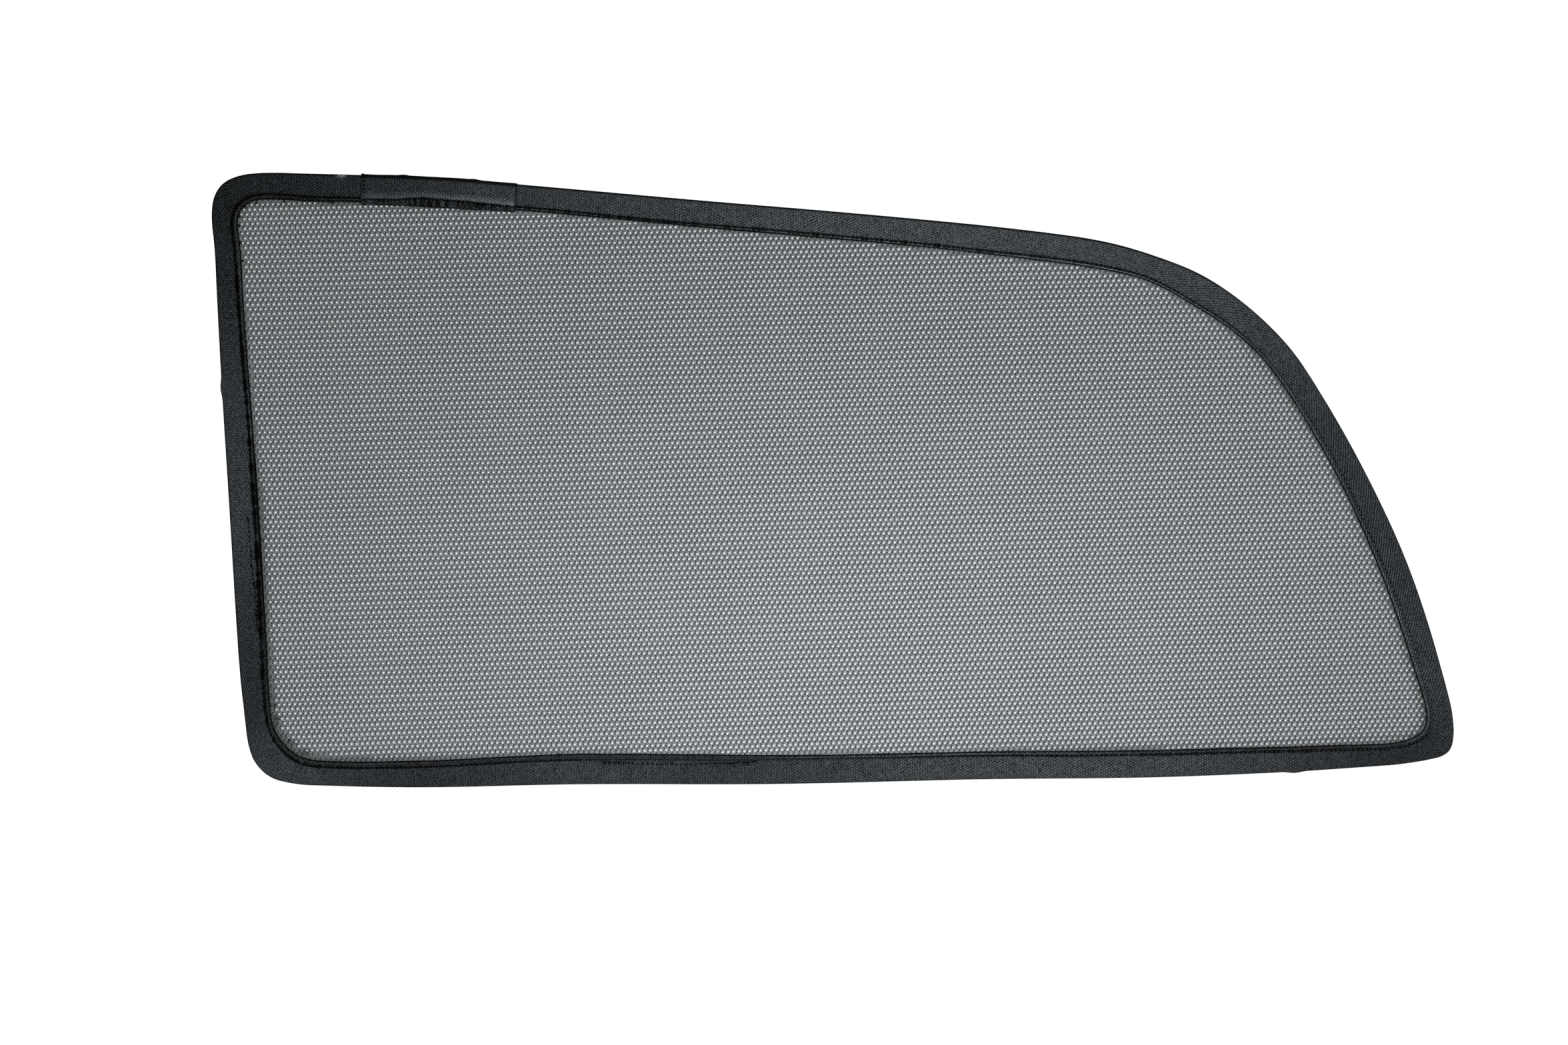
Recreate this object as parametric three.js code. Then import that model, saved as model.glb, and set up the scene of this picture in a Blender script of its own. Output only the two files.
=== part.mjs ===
import * as THREE from "three";

// A mesh sunshade for a car's side window. A knitted panel is held flat by a hoop of spring wire, which lies
// with flat magnets in a tape folded round the panel's edge. A patch closes the tape over the wire's joint.
// Millimetres, +Z up. X runs along the window and Y through the thickness, with the face that is seen from
// inside the car at -Y. The origin is the middle of the shade.

// ---- Driving dimensions ----

const GAP = 0.3; // clearance between neighbouring pieces
const THREAD = 0.4; // thickness of the sewing thread
const MESH = { thickness: 0.8, hiddenShare: 0.35 }; // the share of the hem's width that the panel reaches into
const WIRE_RADIUS = 0.8;
const WIRE_CORNERS = 8;
const SLEEVE = { length: 48, radius: 1.6, corners: 12 };
const MAGNET = { length: 20, thickness: 1.5, width: 6 };
// The folded tapes: tape thickness, half the thickness at the wire and at the mouth, the bevel at the fold, and
// where the fold and the mouth lie from the hem's outer and inner edges.
const HEM = { tape: 0.5, half: 1.6, mouth: 1.2, bevel: 1.0, edge: 0, lip: 0 };
const PATCH = { tape: 0.5, half: 2.4, mouth: 1.2, bevel: 1.6, edge: -0.6, lip: 2.5 };
const FLAT_SHARE = 0.62; // the share of the hem's width where its two faces are parallel
const HEM_SEAM = { share: 0.84, clear: 1.5 }; // its line, as a share of the hem's width, and its end gaps
const PATCH_SEAM = { pastHem: 1, clear: 4 }; // its line past the hem's inner edge, and its end gaps
const PATCH_TACK = { inset: 1.7, bevel: 1.8 }; // where the thread crosses the patch, from each of its ends
const WIRE_DEPTH = 1.9; // from the outer edge to the middle of the wire
const MAGNET_DEPTH = 6.6; // from the outer edge to the middle of a magnet
const SPAN_STEPS = 3; // cross-sections from each station to the next
const SHORT_SPAN = 0.02; // two cross-sections stand no closer than this share of the way between stations
const FINE_STEP = 0.01; // the share of the way between stations over which a direction is measured

// The stations round the hem, clockwise from the top left corner as seen from inside the car: x and z on the
// hem's outer edge, then x and z on its inner edge.
const STATIONS = [
  // top edge, with the patch from station 2 to station 4
  [-391, 210, -388.5, 192.5],
  [-357.5, 209.5, -357.5, 191],
  [-322, 208.5, -322, 190.5],
  [-268, 206.5, -269, 187.5],
  [-216.5, 202.2, -218, 184.7],
  [-95.5, 191.5, -96.5, 173.5],
  [23.5, 181.5, 22.5, 163],
  [133, 170.5, 128.5, 151.5],
  // shoulder, where the roof line turns down
  [187.5, 162.5, 181, 144.5],
  [224, 152, 215, 136],
  [254, 139.5, 244.5, 120.5],
  [284.5, 118.5, 274.5, 101],
  [312, 91.5, 296, 81],
  // right edge
  [331, 64, 315.5, 55],
  [362, 9, 345.5, 3],
  [393.5, -59.5, 376, -65],
  [416, -128, 398.5, -129],
  // bottom right corner
  [425, -169, 407, -161],
  [421.5, -186, 404.5, -172],
  [402, -192.5, 390.5, -179.5],
  // bottom edge
  [352, -197, 347.5, -182],
  [279, -201, 279, -184],
  [206, -203.5, 206, -186],
  [96.5, -204.5, 96.5, -186.5],
  [-50, -207.5, -50, -189],
  [-177.5, -208, -177.5, -188.5],
  [-278, -210, -278, -193],
  [-342, -209, -342, -193.5],
  // bottom left corner
  [-368.5, -207.5, -362.5, -191],
  [-385.5, -202.5, -375.5, -182],
  [-397, -189.5, -383.5, -169],
  // left edge
  [-403, -155, -386.5, -146],
  [-407, -114, -388.5, -109.5],
  [-414.5, 9, -395.5, 9],
  [-421, 118.5, -403, 118.5],
  [-423, 157.5, -405.5, 157.5],
  // top left corner
  [-425, 181.5, -407.5, 176],
  [-423, 194.5, -406.5, 182.5],
  [-417, 203, -403, 187.5],
  [-406.5, 208, -397.5, 191],
];
const PATCH_START = 2;
const PATCH_END = 4;
const WIRE_JOINT = 3;
const LAP = STATIONS.length; // one whole turn round the hem

// Where each magnet's middle lies: a station, plus a share of the way to the next one.
const MAGNETS = {
  magnet_left: 33.46,
  magnet_top_left: 4.3,
  magnet_top: 6.6,
  magnet_right: 14.3,
  magnet_bottom_right: 20.5,
  magnet_bottom: 23.75,
  magnet_bottom_left: 26.9,
};

// Second rows of stitches on the front, where a seam was started or finished: the place of the start, the
// length, and the line as a share of the hem's width.
const BACKTACKS = {
  backtack_bottom: { start: 24.02, length: 110, share: 0.74 },
  backtack_left: { start: 32.05, length: 68, share: 0.74 },
};

// ---- Materials ----

const cloth = (color) => new THREE.MeshStandardMaterial({ color, roughness: 0.9, metalness: 0 });
const metal = (color, roughness) => new THREE.MeshStandardMaterial({ color, roughness, metalness: 1 });

// ---- The hem's two edges, and places between them ----

/** A smooth closed curve through one pair of the stations' columns. */
function edgeCurve(xColumn, zColumn) {
  const points = STATIONS.map((row) => new THREE.Vector3(row[xColumn], 0, row[zColumn]));
  return new THREE.CatmullRomCurve3(points, true, "centripetal");
}
const outerEdge = edgeCurve(0, 1);
const innerEdge = edgeCurve(2, 3);

/** The hem at a place counted in stations: its outer point, its width, and the unit vector across it. */
function hemAt(place) {
  const turn = (((place % LAP) + LAP) % LAP) / LAP;
  const outer = outerEdge.getPoint(turn);
  const across = innerEdge.getPoint(turn).sub(outer);
  const width = across.length();
  return { outer, width, across: across.divideScalar(width) };
}

/** The place that lies some millimetres past another, measured along the outer edge. */
function placeBeyond(place, millimetres) {
  const stepLength = hemAt(place).outer.distanceTo(hemAt(place + FINE_STEP).outer);
  return place + (FINE_STEP * millimetres) / stepLength;
}

/** The places of the cross-sections from one place to another, both ends included. */
function placesBetween(start, end) {
  const places = [start];
  for (let i = Math.floor(start * SPAN_STEPS) + 1; i < end * SPAN_STEPS; i++) {
    const place = i / SPAN_STEPS;
    if (Math.min(place - start, end - place) > SHORT_SPAN) places.push(place);
  }
  return [...places, end];
}

/** The places of a whole turn, for pieces that close on themselves. */
const wholeTurn = Array.from({ length: LAP * SPAN_STEPS }, (_, i) => i / SPAN_STEPS);

/** A profile laid across the hem at one place. profile(width) gives [depth from the outer edge, y] pairs. */
function sectionAt(place, profile) {
  const { outer, width, across } = hemAt(place);
  return profile(width).map(([depth, y]) => outer.clone().addScaledVector(across, depth).setY(y));
}

// ---- Solids ----

/**
 * A solid skinned over cross-sections with equal numbers of corners, which run counterclockwise. A closed one
 * joins its last section to its first; an open one has flat ends, which take their triangles from profile2d.
 */
function loft(sections, closed, profile2d) {
  const corners = sections[0].length;
  const spans = closed ? sections.length : sections.length - 1;
  const index = [];
  for (let i = 0; i < spans; i++) {
    const here = i * corners;
    const next = ((i + 1) % sections.length) * corners;
    for (let j = 0; j < corners; j++) {
      const k = (j + 1) % corners;
      index.push(here + j, here + k, next + k, here + j, next + k, next + j);
    }
  }
  if (!closed) {
    const outline = profile2d.map(([depth, y]) => new THREE.Vector2(depth, y));
    const last = (sections.length - 1) * corners;
    for (const [a, b, c] of THREE.ShapeUtils.triangulateShape(outline, [])) {
      index.push(c, b, a, last + a, last + b, last + c);
    }
  }
  const geometry = new THREE.BufferGeometry();
  const positions = sections.flat().flatMap((p) => [p.x, p.y, p.z]);
  geometry.setAttribute("position", new THREE.Float32BufferAttribute(positions, 3));
  geometry.setIndex(index);
  geometry.computeVertexNormals();
  return geometry;
}

/** A profile swept along the hem from one place to another, with flat ends. */
function sweep(start, end, profile) {
  const sections = placesBetween(start, end).map((place) => sectionAt(place, profile));
  return loft(sections, false, profile(hemAt(start).width));
}

/** The profile of a tape folded over the outer edge: parallel faces that then slope together to its mouth. */
function foldedTape({ edge, half, mouth, bevel, tape, lip }) {
  return (width) => {
    const flat = FLAT_SHARE * width;
    const slack = bevel + 0.1; // keeps the tape's thickness through the fold
    const outside = [
      [width + lip, mouth],
      [flat, half],
      [edge + bevel, half],
      [edge, half - bevel],
    ];
    const inside = [
      [edge + tape, half - slack],
      [edge + slack, half - tape],
      [flat, half - tape],
      [width + lip, mouth - tape],
    ];
    const back = [...inside, ...outside];
    const front = [...back].reverse().map(([depth, y]) => [depth, -y]);
    return [...front, ...back];
  };
}

/** How far a folded tape's face stands from the middle plane, at a depth where its faces close. */
function slopeHeight(tape, depth, width) {
  const flat = FLAT_SHARE * width;
  const share = (depth - flat) / (width + tape.lip - flat);
  return tape.half + (tape.mouth - tape.half) * share;
}

/** A thread laid along a tape's face: side is -1 for the front, 1 for the back. */
function threadAlong(tape, side, depthAt) {
  return (width) => {
    const depth = depthAt(width);
    const low = slopeHeight(tape, depth, width) + GAP;
    const near = depth - THREAD / 2;
    const far = depth + THREAD / 2;
    const corners = [[near, low], [far, low], [far, low + THREAD], [near, low + THREAD]];
    const placed = corners.map(([d, y]) => [d, side * y]);
    return side < 0 ? placed.reverse() : placed;
  };
}

/** A regular polygon round the wire's line, as a profile. */
function roundProfile(radius, corners) {
  return Array.from({ length: corners }, (_, i) => {
    const angle = ((i + 0.5) * 2 * Math.PI) / corners;
    return [WIRE_DEPTH + radius * Math.cos(angle), radius * Math.sin(angle)];
  });
}

// ---- Sub-parts ----

function meshPanel() {
  const rim = wholeTurn.map((place) => {
    const { outer, width, across } = hemAt(place);
    const point = outer.addScaledVector(across, (1 - MESH.hiddenShare) * width);
    return new THREE.Vector2(point.x, point.z);
  });
  const geometry = new THREE.ExtrudeGeometry(new THREE.Shape(rim), {
    depth: MESH.thickness,
    bevelEnabled: false,
  });
  const mesh = new THREE.Mesh(geometry, cloth(0x7d8184));
  mesh.rotation.x = Math.PI / 2; // the outline stands up in X and Z
  mesh.position.y = MESH.thickness / 2;
  return mesh;
}

function hemTape() {
  const profile = foldedTape(HEM);
  const start = placeBeyond(PATCH_END, GAP);
  const end = placeBeyond(PATCH_START + LAP, -GAP);
  return new THREE.Mesh(sweep(start, end, profile), cloth(0x373b3e));
}

function splicePatch() {
  const profile = foldedTape(PATCH);
  return new THREE.Mesh(sweep(PATCH_START, PATCH_END, profile), cloth(0x35393c));
}

function springWire() {
  const start = placeBeyond(WIRE_JOINT, GAP);
  const end = placeBeyond(WIRE_JOINT + LAP, -GAP);
  const profile = () => roundProfile(WIRE_RADIUS, WIRE_CORNERS);
  return new THREE.Mesh(sweep(start, end, profile), metal(0x8d9094, 0.35));
}

/** The sleeve that joins the wire's two ends: a bent tube, skinned round its bore. */
function wireSleeve() {
  const half = SLEEVE.length / 2;
  const places = placesBetween(placeBeyond(WIRE_JOINT, -half), placeBeyond(WIRE_JOINT, half));
  const outside = places.map((place) => sectionAt(place, () => roundProfile(SLEEVE.radius, SLEEVE.corners)));
  const inside = places.map((place) => sectionAt(place, () => roundProfile(WIRE_RADIUS + GAP, SLEEVE.corners)));
  const strips = Array.from({ length: SLEEVE.corners }, (_, corner) => [
    ...inside.map((section) => section[corner]),
    ...outside.map((section) => section[corner]).reverse(),
  ]);
  return new THREE.Mesh(loft(strips, true), metal(0xa9abad, 0.4));
}

/** A flat magnet that lies along the outer edge, with its width towards the panel. */
function magnet(place) {
  const along = hemAt(place + FINE_STEP).outer.sub(hemAt(place - FINE_STEP).outer).normalize();
  const inward = new THREE.Vector3(along.z, 0, -along.x);
  const geometry = new THREE.BoxGeometry(MAGNET.length, MAGNET.thickness, MAGNET.width);
  const mesh = new THREE.Mesh(geometry, metal(0xb8bbbe, 0.25));
  mesh.position.copy(hemAt(place).outer).addScaledVector(inward, MAGNET_DEPTH);
  mesh.rotation.y = Math.atan2(-along.z, along.x);
  return mesh;
}

/** The hem's seam on one face: it starts and ends at the patch. */
function hemSeam(side) {
  const start = placeBeyond(PATCH_END, HEM_SEAM.clear);
  const end = placeBeyond(PATCH_START + LAP, -HEM_SEAM.clear);
  const profile = threadAlong(HEM, side, (width) => HEM_SEAM.share * width);
  return new THREE.Mesh(sweep(start, end, profile), cloth(0x1d1f20));
}

/** The patch's seam on one face, along its lip. */
function patchSeam(side) {
  const start = placeBeyond(PATCH_START, PATCH_SEAM.clear);
  const end = placeBeyond(PATCH_END, -PATCH_SEAM.clear);
  const profile = threadAlong(PATCH, side, (width) => width + PATCH_SEAM.pastHem);
  return new THREE.Mesh(sweep(start, end, profile), cloth(0x1d1f20));
}

/** A second row of stitches on the hem's front. */
function backtack({ start, length, share }) {
  const profile = threadAlong(HEM, -1, (width) => share * width);
  return new THREE.Mesh(sweep(start, placeBeyond(start, length), profile), cloth(0x1d1f20));
}

/** A thread that passes over the fold and across both faces of the patch, near one end. */
function patchTack(place) {
  const stand = GAP + THREAD;
  const profile = foldedTape({
    edge: PATCH.edge - stand,
    half: PATCH.half + stand,
    mouth: PATCH.mouth + stand,
    bevel: PATCH_TACK.bevel,
    tape: THREAD,
    lip: PATCH.lip,
  });
  return new THREE.Mesh(sweep(place, placeBeyond(place, THREAD), profile), cloth(0x1d1f20));
}

// ---- Assembly ----

const shade = new THREE.Group();

function add(name, mesh) {
  mesh.name = name;
  shade.add(mesh);
}

add("mesh_panel", meshPanel());
add("hem_tape", hemTape());
add("splice_patch", splicePatch());
add("spring_wire", springWire());
add("wire_sleeve", wireSleeve());
for (const [name, place] of Object.entries(MAGNETS)) add(name, magnet(place));
add("hem_seam_front", hemSeam(-1));
add("hem_seam_back", hemSeam(1));
add("patch_seam_front", patchSeam(-1));
add("patch_seam_back", patchSeam(1));
add("patch_tack_left", patchTack(placeBeyond(PATCH_START, PATCH_TACK.inset)));
add("patch_tack_right", patchTack(placeBeyond(PATCH_END, -PATCH_TACK.inset - THREAD)));
for (const [name, row] of Object.entries(BACKTACKS)) add(name, backtack(row));

export default shade;
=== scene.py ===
import math

import bpy
import numpy as np
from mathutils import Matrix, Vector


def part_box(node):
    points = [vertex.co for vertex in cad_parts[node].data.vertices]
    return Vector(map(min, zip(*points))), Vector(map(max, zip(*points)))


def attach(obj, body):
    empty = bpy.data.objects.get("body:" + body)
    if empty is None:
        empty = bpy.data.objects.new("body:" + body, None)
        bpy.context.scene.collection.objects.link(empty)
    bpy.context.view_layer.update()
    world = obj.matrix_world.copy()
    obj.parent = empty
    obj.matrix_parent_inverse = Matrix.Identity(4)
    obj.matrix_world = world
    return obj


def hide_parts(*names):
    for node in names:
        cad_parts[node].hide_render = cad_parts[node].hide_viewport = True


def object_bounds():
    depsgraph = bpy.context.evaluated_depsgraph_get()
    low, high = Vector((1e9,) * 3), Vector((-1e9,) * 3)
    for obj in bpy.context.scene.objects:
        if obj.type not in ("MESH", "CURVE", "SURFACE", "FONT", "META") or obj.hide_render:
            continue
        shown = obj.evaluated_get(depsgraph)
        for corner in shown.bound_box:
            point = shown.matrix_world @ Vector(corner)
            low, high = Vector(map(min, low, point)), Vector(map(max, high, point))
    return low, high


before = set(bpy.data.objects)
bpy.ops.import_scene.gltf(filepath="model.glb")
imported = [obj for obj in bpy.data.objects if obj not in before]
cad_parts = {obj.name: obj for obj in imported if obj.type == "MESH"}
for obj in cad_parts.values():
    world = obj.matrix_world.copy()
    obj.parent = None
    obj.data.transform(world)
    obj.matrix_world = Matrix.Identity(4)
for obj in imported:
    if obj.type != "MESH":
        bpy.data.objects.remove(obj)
cad_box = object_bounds()

# The looks of a car window's mesh sunshade: a knitted panel in a taped hem with a spring wire and magnets.
# Lengths are in millimetres, as in the CAD model, and become metres where a mesh is made.

MM = 0.001
RANDOM = np.random.default_rng(7)

# ---- Driving values ----

# The CAD tapes' lines of corners: their heights from the middle plane at the fold and the mouth, and how
# far they lie inwards from the hem's outer edge (edge) and past its inner edge (lip).
CAD_HEM = {"node": "hem_tape", "fold": 0.6, "mouth": 1.2, "edge": 0.0, "lip": 0.0}
CAD_PATCH = {"node": "splice_patch", "fold": 0.8, "mouth": 1.2, "edge": -0.6, "lip": 2.5}

WIRE_DEPTH = 1.9  # from the hem's outer edge to the middle of the wire
HEM_HALF = 1.58  # the hem's height over the wire, above the middle plane
PATCH_HALF = 2.38  # the patch's height over the sleeve, at most
PATCH_LAP = 0.5  # how far the patch laps over the tape's ends
WEAVE = {"along": 3.38, "across": 1.86}  # the twill's repeat
STITCH = {"pitch": 3.4, "thread": 0.42, "steps": 3}  # steps: cross-sections of the tape for each stitch
THREAD_SIDES = 6  # of a stitch's cross-section
# The swell of the tape's face over every magnet, and the bulge of the hem's edge over two of them.
MAGNET_SWELL = {"half": 16, "height": 0.2}
EDGE_BULGE = {"magnets": ("magnet_left", "magnet_bottom_right"), "half": 9, "height": 0.9}

# The knit: the pitch of its holes along a row and from row to row, a hole's radius, the height of the relief,
# the rows' turn, and how far its edge reaches into the hem, as a share of the hem's width.
KNIT = {"pitch": 3.7, "row": 3.18, "hole": 0.38, "relief": 0.12, "turn": math.radians(1.9), "hidden": 0.38}
COLUMNS, ROWS = 126, 74  # of holes to each side of the middle, enough to pass the hem

CAMERA = {"lens": 85, "place": (-0.0333, -2.535, -0.0292)}
KEY_LIGHT = {"size": (1.6, 1.0), "watts": 16, "place": (0.25, -1.7, -0.35), "turn": (101, 0, 6)}
DAYLIGHT = 1.15
FLOOR = {"half": 7.0, "drop": 0.35}  # drop: below the shade

# These lists are read round the hem, on a smooth curve through their values. They go by bearing: degrees
# clockwise from the top, in a frame where the shade's box is square.

# How light the tape is, from 0 to 255: partly painted light and shade, partly the tape's own tone.
# The painted part is the light falling off towards the top left and the twill's sheen changing with the hem's
# direction.
TAPE_SHADE = [
    (0, 67), (25, 66), (50, 61), (75, 53), (95, 53), (110, 53), (124, 55), (135, 45), (144, 58), (155, 66),
    (170, 66), (180, 61), (192, 56), (201, 60), (215, 48), (222, 58), (231, 45), (248, 49), (258, 56),
    (280, 52), (292, 46), (306, 37), (314, 33), (320, 38), (331, 53), (345, 60),
]
# How light its rolled lip is, between the seam and the panel.
LIP_SHADE = [
    (0, 40), (10, 66), (25, 70), (42, 80), (55, 68), (75, 59), (100, 51), (120, 58), (130, 50), (140, 34),
    (150, 42), (165, 52), (180, 40), (215, 37), (230, 34), (245, 26), (260, 15), (270, 20), (280, 38),
    (300, 38), (310, 37), (322, 22), (340, 40),
]
# How far the seam lies from the hem's inner edge.
SEAM_INSET = [
    (0, 2.2), (20, 2.7), (50, 2.5), (60, 2.2), (80, 2.8), (118, 3.6), (131, 3.4), (150, 2.5), (180, 2.6),
    (212, 3.4), (230, 3.5), (240, 2.7), (275, 2.5), (285, 3.0), (300, 3.6), (312, 3.7), (322, 2.6),
    (340, 2.1),
]
# How heavy and ragged the seam's thread is, and how dark the painted shade in its groove is.
SEAM_WEIGHT = [
    (0, 1.15), (30, 1.05), (60, 0.5), (90, 0.75), (128, 0.6), (140, 1.1), (165, 0.8), (180, 0.5),
    (195, 0.5), (210, 0.85), (230, 1.4), (260, 1.6), (300, 1.5), (312, 1.4), (320, 0.9), (330, 1.1),
]
# How much light the thread catches: a painted highlight in its colour.
SEAM_GLEAM = [
    (0, 0.1), (55, 0.2), (80, 0.55), (110, 0.6), (122, 0.8), (134, 0.25), (180, 0.1), (300, 0.0),
    (340, 0.05),
]
# Which of the weave's two diagonals shows more: 1 for the rising one only, and -1 for the falling one.
WEAVE_LEAN = [
    (0, 0.6), (50, 0.4), (68, -0.3), (80, -0.8), (120, -0.8), (140, 0.1), (180, 0.4), (210, 0.2),
    (228, -0.6), (245, -0.5), (265, 0.1), (285, 0.1), (305, -0.4), (325, -0.5), (338, 0.3),
]
# How far the tape reaches past the CAD hem: outwards, over the panel's front, and over its back.
OUTER_REACH = [
    (0, 0.35), (25, 0.5), (42, 0.15), (70, 0.25), (90, 0.7), (105, 0.85), (130, 0.25), (142, 0.65),
    (160, 0.55), (180, 1.05), (200, 0.6), (225, 0.6), (250, 0.15), (285, 0.55), (305, 0.2), (335, 0.4),
]
INNER_REACH = [
    (0, 0.2), (12, -0.4), (28, 0.0), (40, -0.4), (55, 0.0), (70, 0.8), (100, 0.3), (120, 0.8), (130, 0.9),
    (140, 0.6), (155, 0.8), (178, 0.2), (190, 0.9), (205, 0.9), (225, 0.9), (260, 0.9), (280, 0.5),
    (295, 0.0), (320, 0.5), (335, 0.0),
]
BACK_REACH = [
    (0, 0.8), (70, 1.2), (140, 1.2), (200, 1.8), (214, 2.6), (225, 6.2), (235, 4.0), (255, 3.2), (275, 2.6),
    (300, 1.6), (316, 0.8), (340, 0.8),
]
# How wide the painted shade along the fold is: a dark line where the tape turns away.
FOLD_LINE = [
    (0, 1.0), (30, 0.9), (50, 0.4), (70, 0.1), (200, 0.1), (225, 0.4), (260, 0.5), (300, 0.5), (340, 1.1),
]
# How much darker the panel is beside the hem: painted shadow of the hem, with the dark back tape seen through
# the knit painted in too.
PANEL_SHADE = [
    (0, 0.05), (40, 0.0), (60, 0.3), (110, 0.28), (130, 0.55), (142, 0.2), (155, 0.3), (180, 0.0),
    (200, 0.05), (225, 0.6), (240, 0.4), (265, 0.48), (280, 0.1), (300, 0.02), (320, 0.3), (335, 0.0),
]

# The panel's base colour, with a painted pool of light: "dark" all over, and up to "light" more towards a
# middle.
KNIT_LIGHT_POOL = {"dark": 0.0765, "light": 0.0615, "middle": (-10, -150), "reach": (440, 290)}
# Dark smudges on the panel: the bearing, how far past the hem's inner edge, the size, and how dark.
SMUDGES = [(221.5, 5.0, 5.0, 0.6), (222.8, 6.5, 4.0, 0.5), (226, 3.0, 5.0, 0.3)]
# Knots and loose ends on the front seam: the bearing, how far from the hem's inner edge, and the size.
TUFTS = [
    (305.5, -1.0, 1.1), (308, -1.2, 1.3), (310.5, -1.4, 1.4), (312.5, -1.5, 1.5), (314.5, -1.5, 1.5),
    (316.5, -1.6, 1.6), (318.5, -1.3, 1.3), (321, -1.0, 1.1), (258, -1.6, 0.9), (256, 3.0, 0.8),
    (250, 2.6, 0.9), (238, 2.8, 0.8), (228, 2.6, 0.9), (204, -0.8, 0.9), (119.5, 5.0, 1.0), (245, 3.2, 0.7),
    (223, -5.6, 1.1), (226, -6.2, 1.4), (229, -5.4, 1.0), (219, 3.6, 0.8), (214, 3.4, 0.9), (209, 3.5, 0.8),
]

# The patch, by the share of its length from its left end: where its cover's lip lies from the outer edge, and
# how far its stitched band reaches past the hem's inner edge.
PATCH_LIP = [(0.0, 16.4), (0.2, 16.1), (0.4, 14.2), (0.55, 14.4), (0.8, 15.0), (1.0, 15.3)]
PATCH_BAND = [(0.0, 2.0), (0.4, 1.3), (1.0, 1.6)]
# The second rows of stitches: a seed, then the row's line and its knots along its run. A line has pairs of
# (share of the run, depth from the outer edge), and a knot its share, depth and size.
BACKTACKS = {
    "backtack_bottom": (
        101, [(0, 14.6), (0.2, 13.6), (0.6, 12.9), (1, 14.9)], [(0.0, 14.6, 1.1), (0.06, 13.8, 0.8)],
    ),
    "backtack_left": (
        111, [(0, 14.4), (0.35, 14.2), (0.55, 13.0), (1, 12.4)],
        [(0.15, 14.2, 1.0), (0.4, 14.0, 1.3), (0.55, 13.2, 1.1), (0.95, 12.2, 0.8)],
    ),
}
# The stitches across the patch's ends: their pitch, the thread's radius, their shift along the hem, and
# knots, with the place past the row, the depth, the height and the size.
PATCH_TACKS = {
    "patch_tack_left": (2.6, 0.38, -0.9, [(-0.9, -1.0, -0.4, 0.8), (-0.9, -0.6, 0.0, 0.6)]),
    "patch_tack_right": (
        2.4, 0.22, 0.6, [(1.6, 15.4, -1.5, 1.2), (3.4, 15.0, -1.3, 0.9), (0.9, 19.0, -1.3, 0.7)],
    ),
}


# ---- Curves round the hem ----

def smooth_loop(knots, values, period, at):
    """A smooth closed curve through values at the knots, read at the places `at`."""
    knots = np.asarray(knots, float)
    values = np.asarray(values, float)
    x = np.concatenate([knots[-1:] - period, knots, knots[:2] + period])
    v = np.concatenate([values[-1:], values, values[:2]])
    flat = v.ndim == 1
    v = v.reshape(len(v), -1)
    slope = (v[2:] - v[:-2]) / (x[2:] - x[:-2])[:, None]
    at = np.mod(at - knots[0], period) + knots[0]
    i = np.clip(np.searchsorted(knots, at, side="right") - 1, 0, len(knots) - 1)
    step = (x[i + 2] - x[i + 1])[:, None]
    t = (at - x[i + 1])[:, None] / step
    a, b = v[i + 1], v[i + 2]
    found = (
        (2 * t**3 - 3 * t**2 + 1) * a + (t**3 - 2 * t**2 + t) * step * slope[i]
        + (3 * t**2 - 2 * t**3) * b + (t**3 - t**2) * step * slope[i + 1]
    )
    return found[:, 0] if flat else found


def cad_points(node):
    """The corners of a CAD piece."""
    return np.array([v.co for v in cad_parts[node].data.vertices]) / MM


def cad_line(node, height):
    """The corners of a CAD tape that lie at one height in front of the middle plane, as x and z."""
    points = cad_points(node)
    line = points[np.abs(points[:, 1] + height) < 0.03][:, [0, 2]]
    return np.unique(np.round(line, 3), axis=0)


def clockwise(points, start):
    """Points in clockwise order round the middle, from the bearing of a start point on."""
    turn = np.arctan2(points[:, 0], points[:, 1]) - math.atan2(*start)
    return points[np.argsort(np.mod(turn, 2 * math.pi))]


def middle(node):
    """The middle of a CAD node's box, as x and z."""
    low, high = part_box(node)
    return (low[0] + high[0]) / 2 / MM, (low[2] + high[2]) / 2 / MM


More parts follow.
